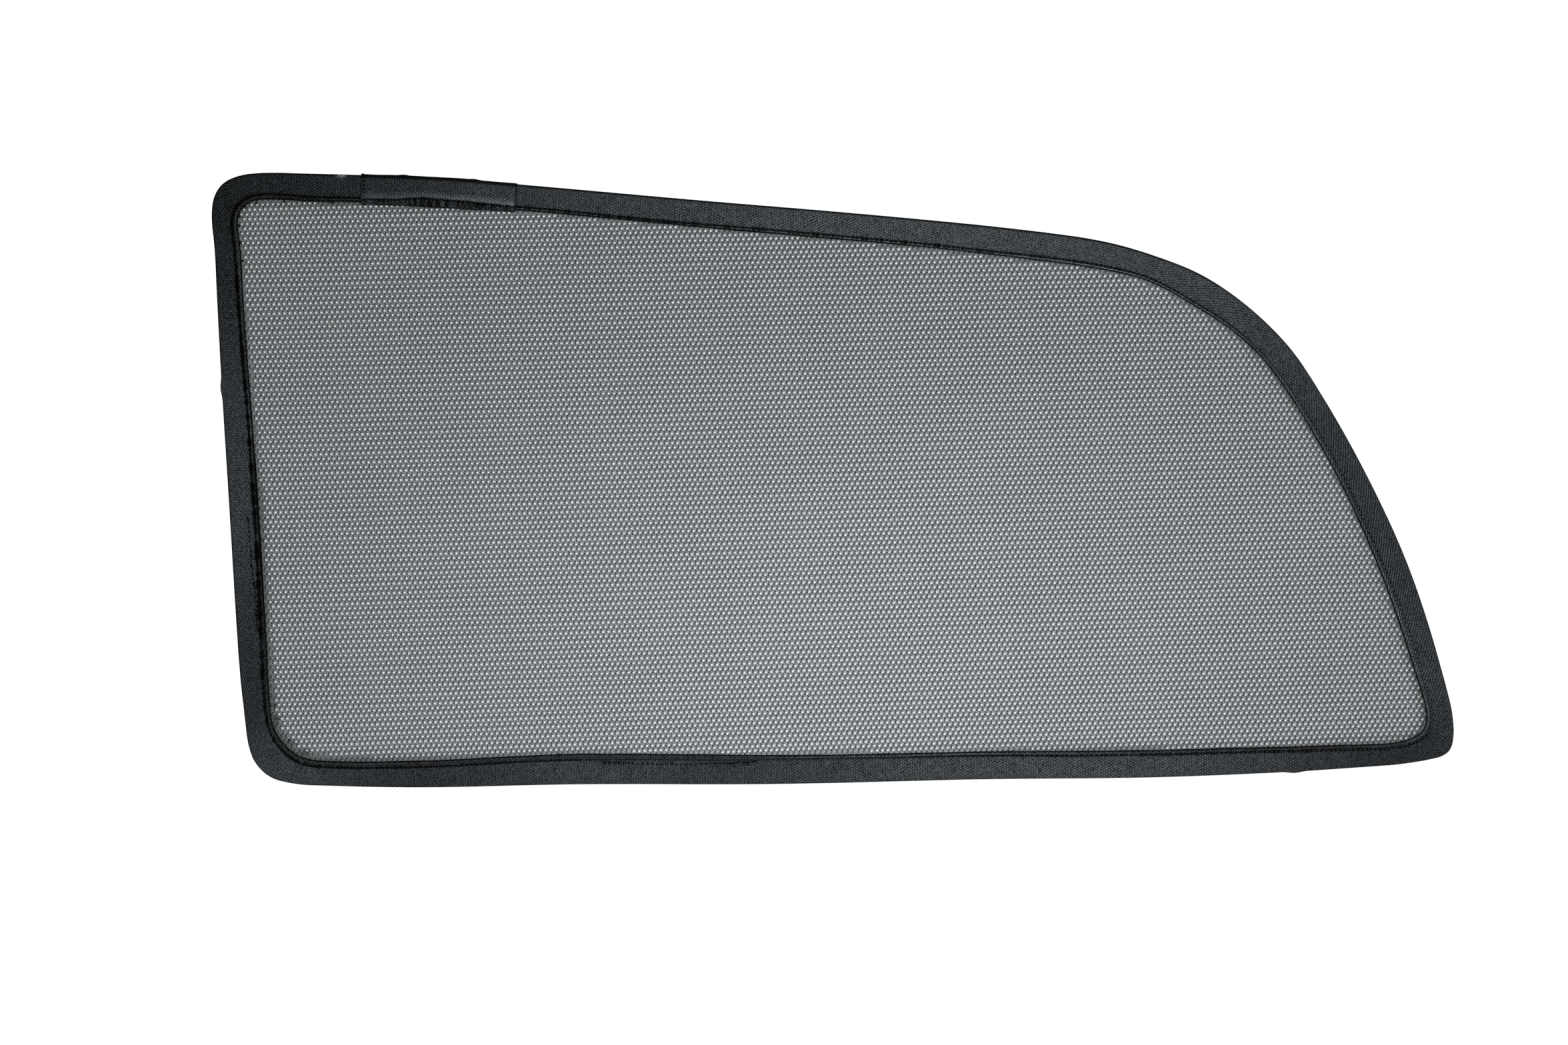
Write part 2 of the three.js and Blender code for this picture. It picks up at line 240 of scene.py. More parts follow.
class Hem:
    """The hem's edges, read by the length s along its outer edge, clockwise from the patch's right end."""

    def __init__(self):
        # The lists start away from their tapes: the hem's at the patch, and the patch's on the far side.
        patch = middle("splice_patch")
        outer, inner = self.edges(CAD_HEM, patch)
        patch_outer, patch_inner = self.edges(CAD_PATCH, (-patch[0], -patch[1]))
        self.outer = np.concatenate([outer, patch_outer[1:-1]])
        self.inner = np.concatenate([inner, patch_inner[1:-1]])
        chords = np.linalg.norm(np.roll(self.outer, -1, 0) - self.outer, axis=1)
        self.knots = np.concatenate([[0], np.cumsum(chords)[:-1]])
        self.total = chords.sum()
        self.patch_start = self.knots[len(outer) - 1]
        self.half_size = np.array([cad_box[1][0], cad_box[1][2]]) / MM

    @staticmethod
    def edges(cad, start):
        """The outer and the inner edge of a CAD tape, in pairs of points from a start point's bearing on."""
        fold = clockwise(cad_line(cad["node"], cad["fold"]), start)
        mouth = clockwise(cad_line(cad["node"], cad["mouth"]), start)
        across = mouth - fold
        across /= np.linalg.norm(across, axis=1)[:, None]
        return fold - cad["edge"] * across, mouth - cad["lip"] * across

    def at(self, s):
        """Outer points, unit vectors across the hem, and widths, at lengths s."""
        outer = smooth_loop(self.knots, self.outer, self.total, s)
        inner = smooth_loop(self.knots, self.inner, self.total, s)
        across = inner - outer
        width = np.linalg.norm(across, axis=1)
        return outer, across / width[:, None], width

    def bearing(self, s):
        """The bearing of the outer edge at lengths s."""
        x, z = (self.at(s)[0] / self.half_size).T
        return np.mod(np.degrees(np.arctan2(x, z)), 360)

    def round(self, table, s):
        """A value that changes smoothly round the hem, from (bearing, value) pairs."""
        bearings, values = np.array(table, float).T
        return smooth_loop(bearings, values, 360, self.bearing(s))

    def length_of_bearing(self, bearing):
        """The length s at a bearing."""
        s = np.arange(0, self.total, 0.5)
        return s[np.argmin(np.abs(np.mod(self.bearing(s) - bearing + 180, 360) - 180))]

    def length_at(self, point):
        """The length s whose outer point is nearest to a point."""
        s = np.arange(0, self.total, 0.5)
        return s[np.argmin(np.linalg.norm(self.at(s)[0] - point, axis=1))]


hem = Hem()


def bump(distance, half):
    """A smooth hump, 1 at 0 and 0 from half on."""
    t = np.clip(1 - np.abs(distance) / half, 0, 1)
    return t * t * (3 - 2 * t)


def wander(s, step, seed):
    """A smooth random value between about -1 and 1, with one free value each `step` millimetres."""
    values = np.random.default_rng(seed).uniform(-1, 1, max(4, round(hem.total / step)))
    return smooth_loop(np.linspace(0, hem.total, len(values), endpoint=False), values, hem.total, s)


# ---- Materials ----

class Field:
    """A number that a material works out at each point. Arithmetic on it adds math nodes."""

    def __init__(self, tree, value):
        self.tree = tree
        self.value = value

    def op(self, operation, *others):
        """A math node on this field and others."""
        node = self.tree.nodes.new("ShaderNodeMath")
        node.operation = operation
        for place, item in zip(node.inputs, (self, *others)):
            connect(self.tree, item, place)
        return Field(self.tree, node.outputs[0])

    def __add__(self, other):
        return self.op("ADD", other)

    def __sub__(self, other):
        return self.op("SUBTRACT", other)

    def __mul__(self, other):
        return self.op("MULTIPLY", other)

    def wave(self):
        """A cosine wave of this many turns."""
        return (self * (2 * math.pi)).op("COSINE")

    def near(self):
        """How far this is from the nearest whole number, with its sign."""
        return self - self.op("ROUND")

    def step(self, low, high, start=0.0, end=1.0):
        """A smooth step from start, at low, to end, at high."""
        node = self.tree.nodes.new("ShaderNodeMapRange")
        node.interpolation_type = "SMOOTHSTEP"
        for place, item in zip(node.inputs, (self, low, high, start, end)):
            connect(self.tree, item, place)
        return Field(self.tree, node.outputs[0])


def connect(tree, item, place):
    """Leads a field, or puts a plain value, into an input of a node."""
    value = item.value if isinstance(item, Field) else item
    if isinstance(value, bpy.types.NodeSocket):
        tree.links.new(value, place)
    else:
        place.default_value = value


class Material:
    """A Principled material and the fields that its pattern starts from."""

    def __init__(self, name, roughness, specular, metallic=0.0):
        self.made = bpy.data.materials.new(name)
        self.made.use_nodes = True
        self.tree = self.made.node_tree
        self.shader = self.tree.nodes["Principled BSDF"]
        self.shader.inputs["Roughness"].default_value = roughness
        self.shader.inputs["Specular IOR Level"].default_value = specular
        self.shader.inputs["Metallic"].default_value = metallic

    def plane(self, name):
        """The two coordinates of a UV map."""
        node = self.tree.nodes.new("ShaderNodeUVMap")
        node.uv_map = name
        return self.split(node.outputs["UV"])[:2]

    def place(self):
        """The object's own coordinates, in metres."""
        return self.split(self.tree.nodes.new("ShaderNodeTexCoord").outputs["Object"])

    def split(self, vector):
        """The three parts of a vector."""
        node = self.tree.nodes.new("ShaderNodeSeparateXYZ")
        self.tree.links.new(vector, node.inputs[0])
        return [Field(self.tree, out) for out in node.outputs]

    def attribute(self, name):
        node = self.tree.nodes.new("ShaderNodeAttribute")
        node.attribute_name = name
        return Field(self.tree, node.outputs["Fac"])

    def noise(self, size, detail=2.0):
        """Noise between 0 and 1 with grains of a size in millimetres."""
        node = self.tree.nodes.new("ShaderNodeTexNoise")
        coordinates = self.tree.nodes.new("ShaderNodeTexCoord")
        self.tree.links.new(coordinates.outputs["Object"], node.inputs["Vector"])
        node.inputs["Scale"].default_value = 1 / (size * MM)
        node.inputs["Detail"].default_value = detail
        return Field(self.tree, node.outputs[0])

    def colour(self, rgb, strength):
        """The base colour: rgb times a field."""
        node = self.tree.nodes.new("ShaderNodeVectorMath")
        node.operation = "SCALE"
        node.inputs[0].default_value = rgb
        connect(self.tree, strength, node.inputs["Scale"])
        self.tree.links.new(node.outputs[0], self.shader.inputs["Base Color"])

    def roughness(self, field):
        connect(self.tree, field, self.shader.inputs["Roughness"])

    def height(self, field, millimetres):
        """Bump of a height in millimetres."""
        node = self.tree.nodes.new("ShaderNodeBump")
        node.inputs["Distance"].default_value = millimetres * MM
        connect(self.tree, field, node.inputs["Height"])
        self.tree.links.new(node.outputs[0], self.shader.inputs["Normal"])


def tape_material():
    """The tape's twill: two diagonal waves that cross, with fluff on them."""
    material = Material("tape_twill", 0.9, 0.03)
    along, across = material.plane("tape")
    along = along + (material.noise(4) - 0.5) * 2.5
    rising = (along * (1 / WEAVE["along"]) + across * (1 / WEAVE["across"])).wave()
    falling = (along * (1 / WEAVE["along"]) - across * (1 / WEAVE["across"])).wave()
    grains = (along * (2 / WEAVE["along"])).wave()
    lean = material.attribute("lean")
    weave = rising * (lean * 0.5 + 0.5) + falling * (lean * -0.5 + 0.5) + grains * 0.45
    fluff = material.noise(0.8) - 0.5
    mottle = material.noise(2.2) - 0.5
    patches = material.noise(12) - 0.5
    contrast = material.attribute("shade").step(0.006, 0.022, 1.7, 1.0)
    tone = (weave * (mottle + 0.8) + fluff * 4.0 + mottle) * contrast + patches * 0.35 + 1.0
    material.colour((0.88, 1.0, 1.09), tone.op("MAXIMUM", 0.12) * material.attribute("shade"))
    material.roughness(weave * -0.04 + fluff * 0.2 + 0.9)
    material.height(weave * 0.4 + fluff, 0.2)
    return material.made


def blob(x, z, wide, high, turn=0.0):
    """A soft spot, 1 at its middle and 0 from its edge on. turn is in degrees, counterclockwise."""
    c, s = math.cos(math.radians(turn)), math.sin(math.radians(turn))
    across = x * (c / wide) + z * (s / wide)
    up = z * (c / high) - x * (s / high)
    return (across * across + up * up).op("SQRT").step(0.0, 1.0, 1.0, 0.0)


def knit_material():
    """The panel's knit round its holes, with different loops in the even and the odd rows."""
    material = Material("mesh_knit", 0.85, 0.06)
    column, row = material.plane("knit")
    pitch, height = KNIT["pitch"], KNIT["row"]

    def spot(odd, x, z, wide, high, turn=0.0):
        """A soft spot at a place from each hole of the even or the odd rows."""
        across = (column + (0.5 * odd - x / pitch)).near() * pitch
        up = ((row - (odd + z / height)) * 0.5).near() * (2 * height)
        return blob(across, up, wide, high, turn)

    side = material.place()[0].step(-0.38, 0.1)  # the lit lobes turn upwards from the left to the middle
    # Painted light round each hole, as if the light behind came through more of it.
    painted_hole_light = (spot(1, 0.15, 0.05, 1.5, 1.25) + spot(0, 0.1, 0.05, 1.4, 1.15)) * 1.6
    painted_hole_light = painted_hole_light.op("MINIMUM", 1.0) * material.attribute("open")
    # Painted highlights on the lobes beside the holes.
    painted_lobe_highlights = spot(1, 0.72, -0.8, 1.0, 0.95) * (side * -0.8 + 1.7)
    painted_lobe_highlights = painted_lobe_highlights + spot(1, 0.85, 0.9, 1.1, 1.1) * (side + 0.4) + spot(1, 1.0, 1.7, 0.9, 0.7) * 0.5
    painted_lobe_highlights = painted_lobe_highlights + spot(0, 0.6, 0.8, 1.15, 1.1) * (side * 1.8 + 0.9)
    painted_lobe_highlights = painted_lobe_highlights + spot(0, 0.6, -0.8, 0.9, 0.9) * 0.5
    loops = spot(1, -0.5, -1.55, 0.5, 1.4, 34) * 1.3 + spot(1, 1.65, -1.45, 0.5, 1.3, -38) * 1.3
    loops = loops + spot(0, -0.5, -1.55, 0.5, 1.3, 30) * 0.7 + spot(0, 1.6, -1.5, 0.5, 1.2, -35) * 0.5
    # Painted shadows in the gaps between the loops.
    gaps = spot(1, 0.62, -1.8, 0.8, 0.95, -30) * 1.25 + spot(1, -1.35, -2.0, 0.55, 1.0, 25) * 0.9
    gaps = gaps + spot(1, -1.6, -0.4, 0.8, 1.1) * 0.5 + spot(1, -1.25, 1.4, 0.6, 1.3, 10) * 0.75
    gaps = gaps + spot(0, 1.9, -0.3, 1.1, 0.8) * 0.75 + spot(0, 0.6, -1.7, 0.55, 1.1) * 0.7
    fluff = material.noise(0.7) - 0.5
    slow = material.noise(60) - 0.5
    tone = painted_hole_light * 2.4 + painted_lobe_highlights * 0.75 + loops * 1.2 - gaps * 0.85 + fluff * 4.2 + slow * 0.15 + 0.86
    material.colour((0.94, 1.0, 1.03), tone.op("MAXIMUM", 0.12) * material.attribute("shade"))
    material.height(painted_lobe_highlights * 0.5 + loops - gaps + fluff * 0.5, 0.15)
    return material.made


def thread_material():
    material = Material("sewing_thread", 0.8, 0.012)
    x, _, z = material.place()
    twist = ((x + z) * (1 / (0.5 * MM))).wave()
    fluff = material.noise(0.3) - 0.5
    gleam = material.attribute("gleam")
    # The gleam paints a highlight into the thread's colour.
    tone = gleam * (twist * 0.03 + 0.14) + fluff * 0.0015 + 0.001
    material.colour((0.95, 1.0, 1.04), tone.op("MAXIMUM", 0.0004))
    material.height(twist * 0.5 + fluff, 0.1)
    return material.made


def metal_material(name, rgb, roughness, grain):
    """Bright metal, drawn or plated, with fine marks of a size in millimetres."""
    material = Material(name, roughness, 0.5, metallic=1.0)
    marks = material.noise(grain, detail=4)
    stains = material.noise(grain * 12)
    material.colour(rgb, marks * 0.3 + stains * 0.2 + 0.72)
    material.roughness(marks * 0.25 + (roughness - 0.1))
    material.height(marks, 0.02)
    return material.made


tape_twill = tape_material()
mesh_knit = knit_material()
sewing_thread = thread_material()

METALS = {
    "spring_wire": metal_material("spring_steel", (0.45, 0.46, 0.48), 0.35, 0.6),
    "wire_sleeve": metal_material("sleeve_metal", (0.55, 0.56, 0.57), 0.4, 1.2),
}
MAGNET_PLATING = metal_material("magnet_plating", (0.66, 0.66, 0.68), 0.25, 2.0)


# ---- Meshes ----

def piece(name, points, faces, material, replaced, plane=None, values=None):
    """A smooth mesh in the frame, with a UV map as (name, coordinates) and point attributes as values."""
    mesh = bpy.data.meshes.new(name)
    mesh.from_pydata((points * MM).tolist(), [], faces)
    mesh.polygons.foreach_set("use_smooth", np.ones(len(mesh.polygons), bool))
    corners = np.empty(len(mesh.loops), np.int32)
    mesh.loops.foreach_get("vertex_index", corners)
    if plane:
        layer = mesh.uv_layers.new(name=plane[0])
        layer.data.foreach_set("uv", plane[1][corners].astype(np.float32).ravel())
    for key, value in (values or {}).items():
        layer = mesh.attributes.new(key, "FLOAT", "POINT")
        layer.data.foreach_set("value", np.broadcast_to(value, len(points)).astype(np.float32))
    mesh.materials.append(material)
    mesh.validate()
    obj = bpy.data.objects.new(name, mesh)
    bpy.context.scene.collection.objects.link(obj)
    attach(obj, "root")
    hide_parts(*replaced)
    return obj


def ring_faces(sections, corners):
    """Quads of a tube of cross-sections with closed outlines, and a face at each end."""
    i, j = np.meshgrid(np.arange(sections - 1), np.arange(corners), indexing="ij")
    k = (j + 1) % corners
    quads = np.stack([i * corners + j, (i + 1) * corners + j, (i + 1) * corners + k, i * corners + k], -1)
    last = (sections - 1) * corners
    ends = [list(range(corners)), list(range(last + corners - 1, last - 1, -1))]
    return quads.reshape(-1, 4).tolist() + ends


def tube(path, radius, sides):
    """Points of a round tube along a path, which lies nearly in the plane of the hem, and its faces."""
    along = np.gradient(path, axis=0)
    along /= np.linalg.norm(along, axis=1)[:, None]
    side = np.cross(along, (0.0, 1.0, 0.02))
    side /= np.linalg.norm(side, axis=1)[:, None]
    up = np.cross(side, along)
    angle = np.arange(sides) * 2 * math.pi / sides
    ring = side[:, None] * np.cos(angle)[None, :, None] + up[:, None] * np.sin(angle)[None, :, None]
    points = path[:, None] + ring * radius
    return points.reshape(-1, 3), ring_faces(len(path), sides)


def joined(parts):
    """One list of points and faces from several (points, faces) pairs."""
    points, faces, start = [], [], 0
    for part_points, part_faces in parts:
        points.append(part_points)
        faces += [[corner + start for corner in face] for face in part_faces]
        start += len(part_points)
    return np.concatenate(points), faces


def thread_runs(starts, ends, height, radius, side):
    """Rounded stitches of thread, each from a (s, depth) start to such an end, dipping in at both ends."""
    # A stitch's cross-sections: where they lie along it, and their lift and girth, in radii.
    share = np.array([0.0, 0.1, 0.32, 0.68, 0.9, 1.0])
    lift = np.array([-1.1, -0.2, 0.5, 0.5, -0.2, -1.1])
    girth = np.array([0.5, 0.85, 1.0, 1.0, 0.85, 0.5])
    radius = np.broadcast_to(radius, len(starts))[:, None]
    place = starts[:, None] + (ends - starts)[:, None] * share[None, :, None]
    s, depth = place[..., 0], place[..., 1]
    outer, across, _ = hem.at(s.ravel())
    along = np.stack([across[:, 1], -across[:, 0]], -1)
    middle_line = (outer + across * depth.reshape(-1, 1)).reshape(*s.shape, 2)
    level = height(s.ravel(), depth.ravel()).reshape(s.shape) + radius * lift
    run = ends - starts
    run = run / np.linalg.norm(run, axis=1)[:, None]
    sideways = across.reshape(*s.shape, 2) * run[:, None, :1] - along.reshape(*s.shape, 2) * run[:, None, 1:]
    angle = np.arange(THREAD_SIDES) * 2 * math.pi / THREAD_SIDES
    reach = (radius * girth)[..., None]
    flat = middle_line[:, :, None] + sideways[:, :, None] * (reach * np.cos(angle))[..., None]
    y = side * (level[..., None] + reach * np.sin(angle))
    points = np.stack([flat[..., 0], y, flat[..., 1]], -1)
    faces = ring_faces(len(share), THREAD_SIDES)
    shift = (np.arange(len(starts)) * len(share) * THREAD_SIDES)[:, None, None]
    quads = (np.array(faces[:-2]) + shift).reshape(-1, 4).tolist()
    caps = (np.array(faces[-2:]) + shift).reshape(-1, THREAD_SIDES).tolist()
    return points.reshape(-1, 3), quads + caps


def loose_thread(s, depth, level, reach, seed, turns, radius):
    """A knot or loose end of thread: a tube through random points about a place on the hem."""
    random = np.random.default_rng(seed)
    outer, across, _ = hem.at(np.array([s]))
    across = across[0]
    along = np.array([across[1], -across[0]])
    spots = random.uniform(-1, 1, (turns, 3)) * reach
    spots = np.linspace(spots[:-1], spots[1:], 5, axis=1, endpoint=False).reshape(-1, 3)
    kernel = np.ones(4) / 4
    spots = np.stack([np.convolve(column, kernel, mode="valid") for column in spots.T], -1)
    flat = outer[0] + across * (depth + spots[:, 1:2]) + along * spots[:, :1]
    path = np.stack([flat[:, 0], level + spots[:, 2], flat[:, 1]], -1)
    return tube(path, radius, sides=5)


# ---- The folded tapes ----

MAGNET_PLACES = {name: hem.length_at(middle(name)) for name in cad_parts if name.startswith("magnet")}


def run_of(node):
    """The lengths s between which a CAD piece lies."""
    flat = np.unique(np.round(cad_points(node)[:, [0, 2]], 1), axis=0)
    s = [hem.length_at(point) for point in flat]
    return min(s), max(s)


RUNS = {name: run_of(name) for name in (*BACKTACKS, *PATCH_TACKS, "wire_sleeve")}


def backtack_depth(name, s):
    """From the hem's outer edge to a second row of stitches, and far outside the tape beyond its ends."""
    start, end = RUNS[name]
    share, depth = np.array(BACKTACKS[name][1]).T
    return np.interp((s - start) / (end - start), share, depth, left=-99, right=-99)


def along_hem(s, place):
    """How far s lies past a place on the hem, the short way round."""
    return np.mod(s - place + hem.total / 2, hem.total) - hem.total / 2


def pucker(s):
    """1 where the needle pulls the tape down, 0 between two holes."""
    return 0.5 + 0.5 * np.cos(2 * math.pi * s / STITCH["pitch"])


def seam_depth(s):
    """From the hem's outer edge to its seam."""
    width = hem.at(s)[2]
    return width - hem.round(SEAM_INSET, s) + 0.25 * wander(s, 40, 3)


def outer_reach(s):
    """How far the fold reaches outwards, with the bulges over two of the magnets."""
    places = [MAGNET_PLACES[name] for name in EDGE_BULGE["magnets"]]
    bulges = sum(bump(along_hem(s, place), EDGE_BULGE["half"]) for place in places)
    return hem.round(OUTER_REACH, s) + EDGE_BULGE["height"] * bulges


def hem_face(s, side):
    """Depths and heights of the tape's face in rows, from the underside of its lip to the wire."""
    width = hem.at(s)[2]
    reach = hem.round(INNER_REACH if side < 0 else BACK_REACH, s)
    ripple = 0.18 * pucker(s) * hem.round(SEAM_WEIGHT, s) + 0.12 * wander(s, 11, 5 - side)
    mouth = width + reach + ripple * 0.8 - 0.1
    seam = seam_depth(s)
    dent = 0.16 * pucker(s) * hem.round(SEAM_WEIGHT, s)
    swell = sum(bump(along_hem(s, place), MAGNET_SWELL["half"]) for place in MAGNET_PLACES.values())
    swell = swell * MAGNET_SWELL["height"]
    crown = 1.3 + 0.05 * wander(s, 30, 11 - side)
    body = seam - 1.9
    return [
        # the rolled lip
        (mouth - 1.2, 0.32),
        (mouth - 0.3, 0.34),
        (mouth, 0.58),
        (mouth - 0.15, 0.88),
        (mouth - 0.6, 1.02),
        (mouth * 0.67 + seam * 0.33 - 0.1, 1.06),
        (mouth * 0.33 + seam * 0.67 + 0.3, 1.06),
        # the seam's groove
        (seam + 0.9, 1.03),
        (seam + 0.45, 0.82 - dent),
        (seam, 0.7 - dent),
        (seam - 0.45, 0.86 - dent),
        (seam - 1.1, 1.1 - dent * 0.6),
        # the body, then the rise to the wire
        (body, 1.22 - dent * 0.3),
        (body * 0.8, crown),
        (body * 0.6, crown + 0.03 + swell),
        (body * 0.4, crown + 0.02 + swell),
        (3.3 + 0 * s, crown + 0.08 + swell * 0.5),
        (2.6 + 0 * s, np.minimum(crown + 0.17 + swell * 0.3, HEM_HALF)),
    ]


def round_wire(half, edge):
    """The tape's turn round the wire, from the front to the back, as (depth, y)."""
    angles = np.radians([-80, -52, -25, 0, 25, 52, 80])
    return [(edge + (WIRE_DEPTH - edge) * (1 - math.cos(a)), half * math.sin(a)) for a in angles]


def inner_rows(line):
    """The inside of a tape, from the back's line of (depth, y), which ends in the fold, on to the front's."""
    return line + [(depth, -y) for depth, y in reversed(line[:-1])]


def patch_share(s):
    """The share of the patch's length at s, from its left end."""
    return np.clip((s - hem.patch_start) / (hem.total - hem.patch_start), 0, 1)


def patch_lip(s):
    """From the hem's outer edge to the lip of the patch's cover."""
    share, depth = np.array(PATCH_LIP).T
    return np.interp(patch_share(s), share, depth) + 0.25 * wander(s, 9, 21)


def patch_end(s):
    """From the hem's outer edge to the end of the patch's stitched band."""
    share, reach = np.array(PATCH_BAND).T
    return hem.at(s)[2] + np.interp(patch_share(s), share, reach) + 0.2 * wander(s, 5, 22)


def patch_lap(s):
    """1 at the patch's ends, where it lies on the tape, and 0 from 5 mm inside them."""
    inside = np.minimum(s - hem.patch_start, hem.total - s)
    return bump(np.maximum(inside, 0), 5)


def patch_face(s, side):
    """Depths and heights of the patch's face in rows, from the underside of its band to the wire."""
    lip, end, lap = patch_lip(s), patch_end(s), patch_lap(s)
    rough = 0.12 * wander(s, 1.6, 31 + side)
    flange = 0.98 + 0.45 * lap
    crown = 2.12 - 0.2 * lap + 0.1 * wander(s, 14, 33 + side)
    puff = np.minimum(crown + 0.22 * (1 - lap), 2.36)
    return [
        # the stitched band
        (end - 1.3, 0.34 + 0.8 * lap),
        (end - 0.3, 0.36 + 0.8 * lap),
        (end + 0.4 * rough, 0.62 + 0.6 * lap),
        (end - 0.2, flange - 0.1),
        (end - 0.7, flange + rough),
        (lip * 0.3 + end * 0.7 - 0.2, flange - rough),
        (lip * 0.6 + end * 0.4, flange + rough * 0.6),
        (lip + 0.5, flange - 0.05),
        # the cover's lip
        (lip + 0.16, flange + 0.02),
        (lip + 0.1, flange * 0.5 + 0.75),
        (lip - 0.12, puff - 0.42),
        (lip - 0.6, puff - 0.15),
        (lip - 1.5, puff),
        (lip - 3.0, puff),
        # the cover, then the rise to the sleeve
        (lip * 0.64, crown + 0.04),
        (lip * 0.48, crown),
        (lip * 0.34, crown + 0.02),
        (3.4 + 0 * s, crown + 0.1),
        (2.3 + 0 * s, np.minimum(crown + 0.2, PATCH_HALF)),
    ]


def height_over(face, side):
    """A function for the heights of a tape's face at lengths s and depths."""
    def height(s, depth):
        rows = face(s, side)[3:]  # without the underside
        depths = np.stack([np.broadcast_to(row[0], len(s)) for row in rows], 1)[:, ::-1]
        heights = np.stack([np.broadcast_to(row[1], len(s)) for row in rows], 1)[:, ::-1]
        return np.array([np.interp(*place) for place in zip(depth, depths, heights)])
    return height


def band(s, rows):
    """Points of a lofted band in sections, from rows of (depth, y), with their depths and heights."""
    outer, across, _ = hem.at(s)
    depth = np.stack([np.broadcast_to(d, len(s)) for d, _ in rows], 1)
    y = np.stack([np.broadcast_to(h, len(s)) for _, h in rows], 1)
    flat = outer[:, None] + across[:, None] * depth[..., None]
    points = np.stack([flat[..., 0], y, flat[..., 1]], -1)
    return points, depth, y


def way_across(depth, y, fold_row):
    """The length along the outline from the fold: above 0 on the front and below 0 on the back."""
    steps = np.hypot(np.diff(depth, axis=1), np.diff(y, axis=1))
    way = np.concatenate([np.zeros((len(depth), 1)), np.cumsum(steps, axis=1)], axis=1)
    return way[:, fold_row:fold_row + 1] - way


def tape_tone(lightness):
    """The base colour's strength for a tape that looks so light, from 0 to 255."""
    return 0.78 * (lightness / 255) ** 2.2


def tape_light(s):
    """The base colour's strength for the tape at lengths s, as a column."""
    return tape_tone(np.clip(hem.round(TAPE_SHADE, s), 20, 90))[:, None]


def folded_tape(name, node, s, face, half, edge, inside_line, tone):
    """A tape folded round the wire, as a closed mesh. half and edge are the fold's height and place."""
    front, back = face(s, -1), face(s, 1)
    rows = [(depth, -y) for depth, y in front] + round_wire(half, edge) + list(reversed(back))
    fold_row = len(front) + 3  # the middle of the turn round the wire
    outside = len(rows)
    rows += inner_rows(inside_line)
    points, depth, y = band(s, rows)
    way = way_across(depth, y, fold_row)
    shade = tone(s[:, None], depth, y)
    # Painted shade on the tape's inside.
    shade[:, outside:] *= 0.4  # the inside is darker
    lean = np.broadcast_to(hem.round(WEAVE_LEAN, s)[:, None], depth.shape)
    plane = np.stack([np.broadcast_to(s[:, None], way.shape), way], -1)
    tape = piece(
        name, points.reshape(-1, 3), ring_faces(len(s), len(rows)), tape_twill,
        [node], ("tape", plane.reshape(-1, 2)), {"shade": shade.ravel(), "lean": lean.ravel()},
    )


def line_of(distance, core, edge):
    """1 as far as core from a line and falling to 0 over the edge past it."""
    return bump(np.maximum(np.abs(distance) - core, 0), edge)


def hem_tone(s, depth, y):
    """How light the hem's tape is: painted shade along the fold, in the seam's groove and at the lip."""
    line = s[:, 0]
    weight = hem.round(SEAM_WEIGHT, line)[:, None]
    light = tape_light(line)
    rolled = np.clip((depth - seam_depth(line)[:, None] - 0.9) / 0.8, 0, 1)
    light = light * (1 - rolled) + tape_tone(hem.round(LIP_SHADE, line))[:, None] * rolled
    out = outer_reach(line)[:, None]
    # Painted shade: a dark line along the fold, where the tape turns away.
    fold = 1 - 0.95 * line_of(depth + out, hem.round(FOLD_LINE, line)[:, None], 0.7)
    # Painted shade in the seam's groove, ragged and darker where the thread is heavy.
    ragged = 1 + 0.5 * wander(line, 2.4, 41)[:, None] * weight + 0.3 * (pucker(s) - 0.5)
    core = np.clip(0.6 * weight - 0.1, 0, 0.85) * ragged
    steady = np.clip(weight + 0.3, 0, 1)
    dashes = steady + (1 - steady) * (2 * pucker(s) - 0.6)
    heavy = np.clip(1.15 * weight + 0.2, 0, 0.985) * dashes
    groove = 1 - heavy * line_of(depth - seam_depth(line)[:, None], core, 0.6)
    reach = np.where(y < 0, hem.round(INNER_REACH, line)[:, None], hem.round(BACK_REACH, line)[:, None])
    past = depth - hem.at(line)[2][:, None] - reach
    # Painted shadow at the lip's edge, and a painted highlight on the lip's ridge on the front.
    lip = (1 - 0.96 * bump(np.minimum(past + 0.6, 0), 0.65)) * (1 + 1.3 * bump(past + 1.45, 0.55) * (y < 0))
    # Painted shade along the second rows of stitches on the front.
    for name in BACKTACKS:
        row = line_of(depth - backtack_depth(name, line)[:, None], 0.1, 0.7)
        lip = lip * (1 - 0.9 * row * (0.75 + 0.25 * wander(line, 2.0, 43)[:, None]) * (y < 0))
    # The tape is a little lighter over the left magnet.
    lighter_over_magnet = 1 + 0.14 * bump(along_hem(s, MAGNET_PLACES["magnet_left"]), MAGNET_SWELL["half"])
    scuff = 0.25 * bump(s - (hem.patch_start - 14), 4.5) * bump(depth - 0.9, 0.9) * (y < 0)
    return light * fold * groove * lip * lighter_over_magnet + scuff


def hem_tape():
    """The hem's tape, from the patch's right end round to its left."""
    margin = 0.35
    count = round((hem.patch_start - 2 * margin) / STITCH["pitch"] * STITCH["steps"])
    s = np.linspace(margin, hem.patch_start - margin, count)
    inside_line = [(13.0, 0.4), (10.4, 0.74), (WIRE_DEPTH, 1.0), (0.9, 0.0)]
    edge = -outer_reach(s)
    folded_tape("hem_tape_folded", "hem_tape", s, hem_face, HEM_HALF, edge, inside_line, hem_tone)


